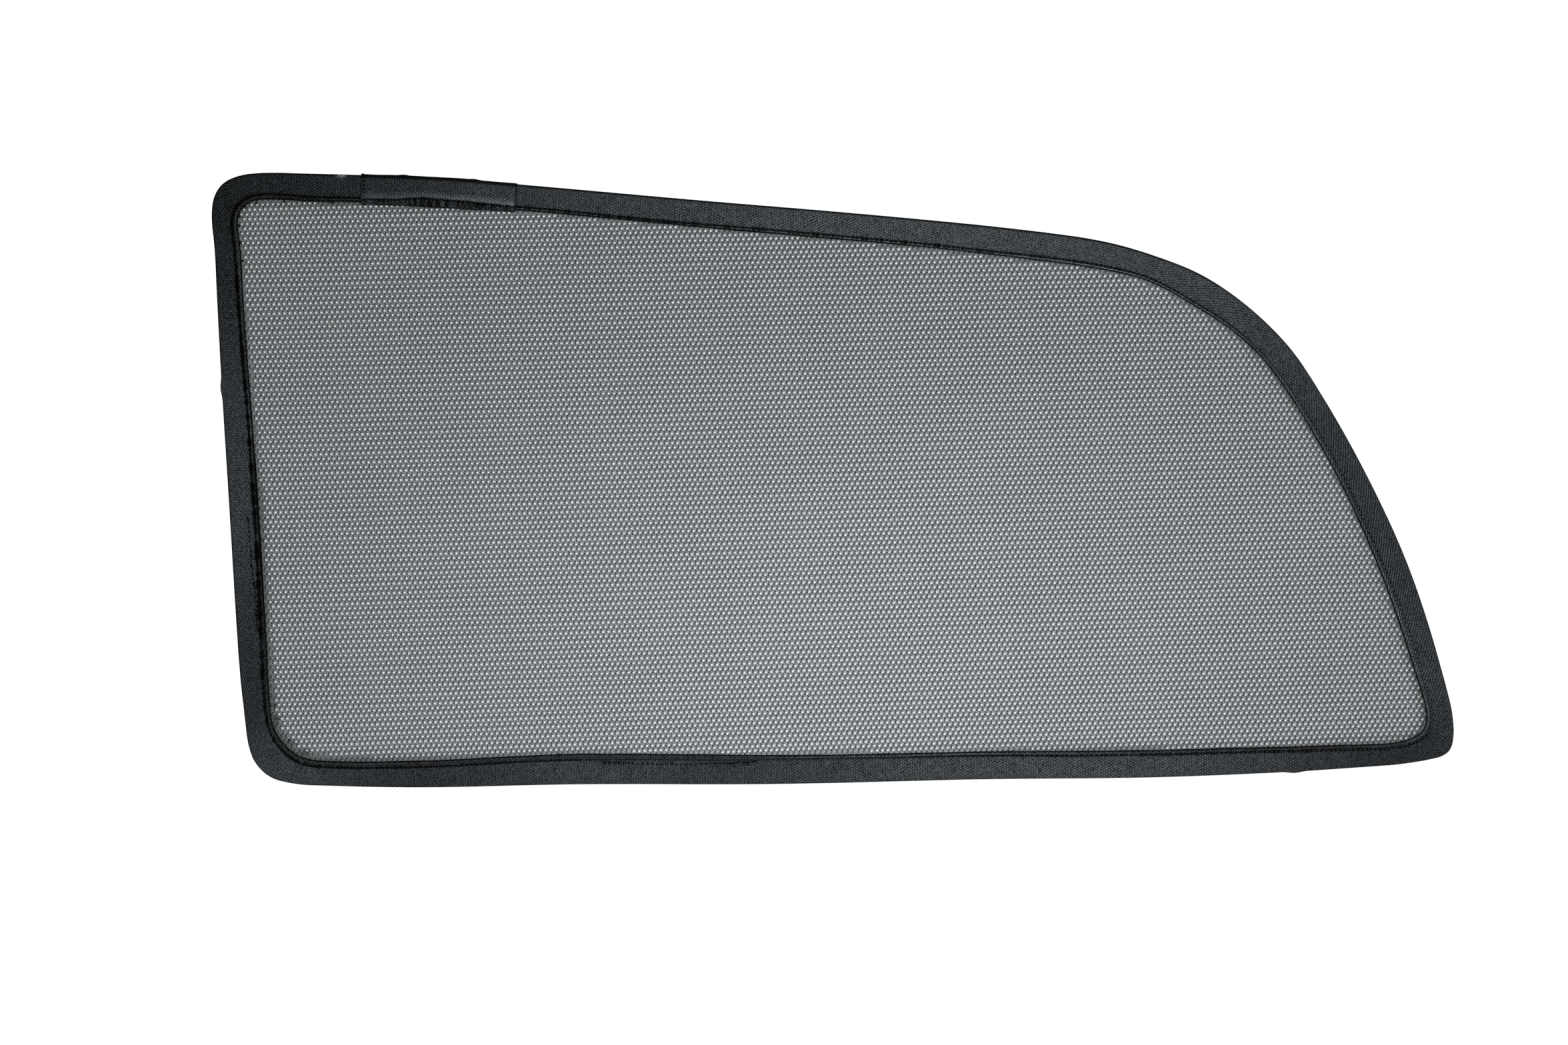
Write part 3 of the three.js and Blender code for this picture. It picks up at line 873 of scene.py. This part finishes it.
def patch_tone(s, depth, y):
    """How light the patch is: a near-black band, a painted highlight above the lip, painted shade at the
    fold.
    """
    line = s[:, 0]
    light = tape_light(line)
    lip = patch_lip(line)[:, None]
    # A painted highlight on the crest above the lip, and painted shade along the fold.
    cover = light * (1 + 1.9 * bump(depth - lip + 1.9, 2.0)) * (1 - 0.96 * line_of(depth + 0.6, 1.6, 1.4))
    cover = cover * (1 + 0.12 * wander(line, 9, 52)[:, None])
    rough = wander(line, 1.3, 51)[:, None] * np.sin(depth * 4.0) + 0.3 * wander(line, 0.9, 53)[:, None]
    # The band's tone, with painted shade under the cover's lip and at the band's end.
    stitched = tape_tone(50) * np.clip(0.6 + 1.6 * rough, 0.04, 3.5) * (1 - 0.95 * bump(depth - lip, 0.9))
    stitched = stitched * (1 - 0.9 * bump(np.minimum(depth - patch_end(line)[:, None] + 0.3, 0), 0.6))
    cut = 1 - 0.85 * bump(np.minimum(s - hem.patch_start, hem.total - s) + PATCH_LAP, 1.0)
    return np.where(depth > lip - 0.15, stitched, cover) * cut


def splice_patch():
    """The patch, with bulges of its edge over the sleeve's ends."""
    s = np.arange(hem.patch_start - PATCH_LAP, hem.total + PATCH_LAP, 0.5)
    sleeve = RUNS["wire_sleeve"]
    swell = sum(bump(s - end, 5) for end in sleeve)
    edge = CAD_PATCH["edge"] - 0.35 - 0.45 * swell + 0.15 * wander(s, 12, 61)
    lap = patch_lap(s)
    inside_line = [(13.0, 0.5 + 0.95 * lap), (10.4, 1.0 + 0.5 * lap), (WIRE_DEPTH, 1.76), (-0.12, 0.0)]
    half = np.minimum(2.3 - 0.15 * lap + 0.06 * swell, PATCH_HALF)
    folded_tape("splice_patch_cover", "splice_patch", s, patch_face, half, edge, inside_line, patch_tone)


# ---- Sewing thread ----

def sewn(node, parts, gleam):
    """A piece made of runs of thread. gleam is one value, or one for each point."""
    points, faces = joined(parts)
    piece(node + "_stitches", points, faces, sewing_thread, [node], values={"gleam": gleam})


def per_point(values, part):
    """The values of equal runs of thread, repeated for each of their points."""
    return np.repeat(values, len(part[0]) // len(values))


def hem_seam(side, node):
    """The hem's seam on one face, from the patch's right end round to its left, ragged where it is heavy."""
    random = np.random.default_rng(71 + side)
    holes = np.arange(1, int(hem.patch_start / STITCH["pitch"]) - 1) * STITCH["pitch"]
    weight = hem.round(SEAM_WEIGHT, holes)
    jitter = random.normal(0, 0.09, (2, len(holes))) * (0.6 + weight)
    depth = seam_depth(holes)
    height = height_over(hem_face, side)
    starts = np.stack([holes + 0.3, depth + jitter[0]], -1)
    ends = np.stack([holes + STITCH["pitch"] - 0.3, depth + jitter[1]], -1)
    radius = STITCH["thread"] * (0.42 + 0.32 * weight)
    gleam = hem.round(SEAM_GLEAM, holes) * random.uniform(0.6, 1.2, len(holes))
    runs = [(starts, ends, radius, np.clip(gleam, 0, 1.2))]
    heavy = np.flatnonzero(weight > 0.75)
    for spread in (0.7, 1.0):
        turn = random.uniform(-1, 1, (4, len(heavy)))
        above = spread * (0.8 + 0.3 * turn[1]) * weight[heavy]
        a = np.stack([holes[heavy] + turn[0], depth[heavy] - above], -1)
        b = np.stack([holes[heavy] + 1.9 + 0.5 * turn[2], depth[heavy] + 0.5 + 0.3 * turn[3]], -1)
        runs.append((a, b, 0.17, np.zeros(len(heavy))))
    parts = [thread_runs(a, b, height, thick, side) for a, b, thick, _ in runs]
    gleams = [per_point(run[3], part) for run, part in zip(runs, parts)]
    if side < 0:
        for number, (bearing, inset, reach) in enumerate(TUFTS):
            place = hem.length_of_bearing(bearing)
            width = hem.at(np.array([place]))[2][0]
            parts.append(loose_thread(place, width - inset, -0.9, reach, 200 + number, 9, 0.2))
            gleams.append(np.zeros(len(parts[-1][0])))
    sewn(node, parts, np.concatenate(gleams))


def backtack(node):
    """A second row of stitches on the front, with knots."""
    seed, _, knots = BACKTACKS[node]
    random = np.random.default_rng(seed)
    start, end = RUNS[node]
    holes = np.arange(start, end - STITCH["pitch"], STITCH["pitch"] * 0.97)
    line = backtack_depth(node, holes) + random.normal(0, 0.15, len(holes))
    a = np.stack([holes + 0.5, line], -1)
    b = np.stack([holes + STITCH["pitch"] - 0.5, line + random.normal(0, 0.2, len(holes))], -1)
    parts = [thread_runs(a, b, height_over(hem_face, -1), 0.36, -1)]
    for number, (place, knot_depth, reach) in enumerate(knots):
        at = start + place * (end - start)
        parts.append(loose_thread(at, knot_depth, -1.35, reach, seed + number, 14, 0.25))
    sewn(node, parts, 0.0)


def patch_seam(side, node):
    """The patch's seam on one face: stitches under the lip, and rough binding over the band."""
    random = np.random.default_rng(81 + side)
    holes = np.arange(hem.patch_start + 4, hem.total - 4, 2.6)
    height = height_over(patch_face, side)
    lip, end = patch_lip(holes), patch_end(holes)
    under = np.stack([holes, lip + 0.45], -1)
    run_gleams = [np.zeros(len(holes))]
    parts = [thread_runs(under, under + (2.2, 0.0), height, 0.24, side)]
    for slant in (1.9, -1.4):
        turn = random.uniform(-0.9, 0.9, (2, len(holes)))
        a = np.stack([holes + turn[0], lip + 0.7], -1)
        b = np.stack([holes + slant + turn[1], end - 0.35], -1)
        parts.append(thread_runs(a, b, height, 0.24, side))
        run_gleams.append(random.choice([0.0, 0.1, 0.25], len(holes)))
    gleams = [per_point(gleam, part) for gleam, part in zip(run_gleams, parts)]
    sewn(node, parts, np.concatenate(gleams))


def patch_tack(node):
    """Stitches across the patch near one end, on both faces, with loose ends where the seam turns."""
    pitch, radius, shift, knots = PATCH_TACKS[node]
    s = sum(RUNS[node]) / 2 + shift
    parts = []
    for side in (-1, 1):
        depths = np.arange(0.6, patch_lip(np.array([s]))[0] - pitch * 0.6, pitch)
        a = np.stack([np.full(len(depths), s), depths], -1)
        b = a + (0.15, pitch - 0.8)
        parts.append(thread_runs(a, b, height_over(patch_face, side), radius, side))
    for number, (past, depth, level, reach) in enumerate(knots):
        parts.append(loose_thread(s + past, depth, level, reach, 90 + number, 10, 0.25))
    sewn(node, parts, 0.0)


# ---- The knitted panel ----

def inside_loop(points, loop):
    """Which points lie inside a closed outline."""
    found = np.zeros(len(points), bool)
    for (x0, z0), (x1, z1) in zip(loop, np.roll(loop, -1, 0)):
        crosses = (z0 > points[:, 1]) != (z1 > points[:, 1])
        reach = (x1 - x0) * (points[:, 1] - z0) / (z1 - z0 + 1e-12) + x0
        found ^= crosses & (points[:, 0] < reach)
    return found


def stretched(x, z):
    """A point of the knit on the shade: turned a little, wider on the right and taller at the top left."""
    wide = x + 4e-5 * x * (x + 100)
    high = z * (1 + 3e-5 * z - 4e-5 * x)
    cos, sin = math.cos(KNIT["turn"]), math.sin(KNIT["turn"])
    return np.stack([wide * cos - high * sin, wide * sin + high * cos], -1)


def knit_faces(number, i, j, odd):
    """The threads between the holes: quads between two holes, and triangles where three meet."""
    def neighbour(di_even, di_odd, dj):
        """The number of each hole's neighbour, or -1."""
        ni = i + np.where(odd == 0, di_even, di_odd) + COLUMNS
        nj = j + dj + ROWS
        fits = (ni >= 0) & (ni <= 2 * COLUMNS) & (nj >= 0) & (nj <= 2 * ROWS)
        return np.where(fits, number[np.clip(nj, 0, 2 * ROWS), np.clip(ni, 0, 2 * COLUMNS)], -1)

    right = neighbour(1, 1, 0)
    upper_right = neighbour(0, 1, 1)
    upper_left = neighbour(-1, 0, 1)
    faces = []
    # Each face has the neighbours that it joins to a hole, and its corners as (hole, corner of that hole).
    for others, corners in (
        ((right,), ((0, 5), (1, 3), (1, 2), (0, 0))),
        ((upper_right,), ((0, 0), (1, 4), (1, 3), (0, 1))),
        ((upper_left,), ((0, 1), (1, 5), (1, 4), (0, 2))),
        ((right, upper_right), ((0, 0), (1, 2), (2, 4))),
        ((upper_right, upper_left), ((0, 1), (1, 3), (2, 5))),
    ):
        holes = (number, *others)
        there = np.all([hole >= 0 for hole in holes], axis=0)
        faces += np.stack([holes[hole][there] * 6 + corner for hole, corner in corners], -1).tolist()
    return faces


def knit_shade(points, middles, s):
    """The panel's base colour at its points, from the holes' middles and lengths s along the hem, with
    painted light and shade.
    """
    outer, across, width = hem.at(s)
    # A painted pool of light, lighter towards a middle low on the panel.
    x, z = ((points - KNIT_LIGHT_POOL["middle"]) / KNIT_LIGHT_POOL["reach"]).T
    shade = KNIT_LIGHT_POOL["dark"] + KNIT_LIGHT_POOL["light"] * np.exp(-x * x - z * z)
    # Painted shadow of the hem on the panel beside it.
    inner = outer + across * width[:, None]
    gaps = [np.linalg.norm(inner - middle_point, axis=1) for middle_point in middles]
    nearest = np.argmin(gaps, axis=1)
    beside = hem.round(PANEL_SHADE, s)[nearest] * bump(np.min(gaps, axis=1), 9)
    shade *= 1 - np.repeat(beside, 6)
    for bearing, past, size, strength in SMUDGES:
        k = np.argmin(np.abs(s - hem.length_of_bearing(bearing)))
        spot = outer[k] + across[k] * (width[k] + past)
        shade *= 1 - strength * bump(np.linalg.norm(points - spot, axis=1), size)
    return shade


def knit_panel():
    """The panel, as a net of threads round six-cornered holes, out to where the hem hides it."""
    j, i = np.meshgrid(np.arange(-ROWS, ROWS + 1), np.arange(-COLUMNS, COLUMNS + 1), indexing="ij")
    odd = np.mod(j, 2)
    column = i + 0.5 * odd
    s = np.arange(0, hem.total, 4.0)
    outer, across, width = hem.at(s)
    rim = outer + across * ((1 - KNIT["hidden"]) * width)[:, None]
    places = stretched(column.ravel() * KNIT["pitch"], j.ravel() * KNIT["row"])
    kept = inside_loop(places, rim).reshape(j.shape)
    number = np.full(j.shape, -1)
    number[kept] = np.arange(kept.sum())
    # Holes with the back of the tape behind them are nearly closed.
    backed = outer + across * (width + hem.round(BACK_REACH, s) + 0.6)[:, None]
    open_hole = np.where(inside_loop(places, backed).reshape(j.shape)[kept], 1.0, 0.25)

    # A hole has six corners and is longer along one diagonal. The sizes, places and heights vary a little.
    angle = np.radians(30 + 60 * np.arange(6))
    corner = np.stack([np.cos(angle), np.sin(angle)], -1) * KNIT["hole"]
    diagonal = np.array([0.7071, 0.7071])
    corner = corner + 0.16 * (corner @ diagonal)[:, None] * diagonal
    holes = kept.sum()
    size = (1 + RANDOM.normal(0, 0.07, (holes, 1, 1))) * open_hole[:, None, None]
    size = size * (1 - 0.12 * (places.reshape(*j.shape, 2)[kept][:, 0] / 350) ** 2)[:, None, None]
    shift = RANDOM.normal(0, 0.07, (holes, 1, 2))
    centre = np.stack([column[kept] * KNIT["pitch"], j[kept] * KNIT["row"]], -1)[:, None]
    local = centre + corner[None] * size + shift
    flat = stretched(local[..., 0], local[..., 1])
    y = KNIT["relief"] * (corner[:, 1] / KNIT["hole"])[None] + RANDOM.normal(0, 0.02, (holes, 6))
    points = np.stack([flat[..., 0], y, flat[..., 1]], -1).reshape(-1, 3)
    plane = (local / (KNIT["pitch"], KNIT["row"])).reshape(-1, 2)

    shade = knit_shade(points[:, [0, 2]], flat.mean(1), s)
    panel = piece(
        "mesh_panel_knit", points, knit_faces(number, i, j, odd), mesh_knit, ["mesh_panel"],
        ("knit", plane), {"shade": shade, "open": np.repeat(open_hole, 6)},
    )
    low, high = rim.min(0), rim.max(0)
    tuple(((high - low) * MM).tolist())


# ---- The camera, the light and the floor ----

def daylight():
    """Even white light from all round."""
    scene = bpy.context.scene
    scene.view_settings.view_transform = "Standard"
    scene.world = bpy.data.worlds.new("studio")
    scene.world.use_nodes = True
    background = scene.world.node_tree.nodes["Background"]
    background.inputs["Color"].default_value = (1.0, 1.0, 1.0, 1.0)
    background.inputs["Strength"].default_value = DAYLIGHT


def camera():
    """A camera that looks at the shade's front, square-on."""
    lens = bpy.data.cameras.new("camera")
    lens.lens = CAMERA["lens"]
    holder = bpy.data.objects.new("camera", lens)
    holder.location = CAMERA["place"]
    holder.rotation_euler = (math.radians(90), 0, 0)
    bpy.context.scene.collection.objects.link(holder)
    bpy.context.scene.camera = holder


def key_light():
    """A soft light from the front, which the camera doesn't see."""
    soft = bpy.data.lights.new("key", "AREA")
    soft.shape = "RECTANGLE"
    soft.size, soft.size_y = KEY_LIGHT["size"]
    soft.energy = KEY_LIGHT["watts"]
    key = bpy.data.objects.new("key", soft)
    key.location = KEY_LIGHT["place"]
    key.rotation_euler = [math.radians(turn) for turn in KEY_LIGHT["turn"]]
    key.visible_camera = False
    bpy.context.scene.collection.objects.link(key)


def floor():
    """A plain, pale floor below the shade, which hangs."""
    material = Material("floor_paint", 0.9, 0.1)
    speckle = material.noise(30)
    material.colour((1.0, 1.0, 1.0), speckle * 0.02 + 0.93)
    half = FLOOR["half"]
    level = cad_box[0][2] - FLOOR["drop"]
    corners = [(-half, -half, level), (half, -half, level), (half, half, level), (-half, half, level)]
    mesh = bpy.data.meshes.new("floor")
    mesh.from_pydata(corners, [], [(0, 1, 2, 3)])
    mesh.materials.append(material.made)
    obj = bpy.data.objects.new("floor", mesh)
    bpy.context.scene.collection.objects.link(obj)


daylight()
camera()
key_light()
floor()
hem_tape()
splice_patch()
knit_panel()
hem_seam(-1, "hem_seam_front")
hem_seam(1, "hem_seam_back")
patch_seam(-1, "patch_seam_front")
patch_seam(1, "patch_seam_back")
for end in PATCH_TACKS:
    patch_tack(end)
for row in BACKTACKS:
    backtack(row)

for name, metal in METALS.items():
    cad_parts[name].data.materials[0] = metal
for name in MAGNET_PLACES:
    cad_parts[name].data.materials[0] = MAGNET_PLATING
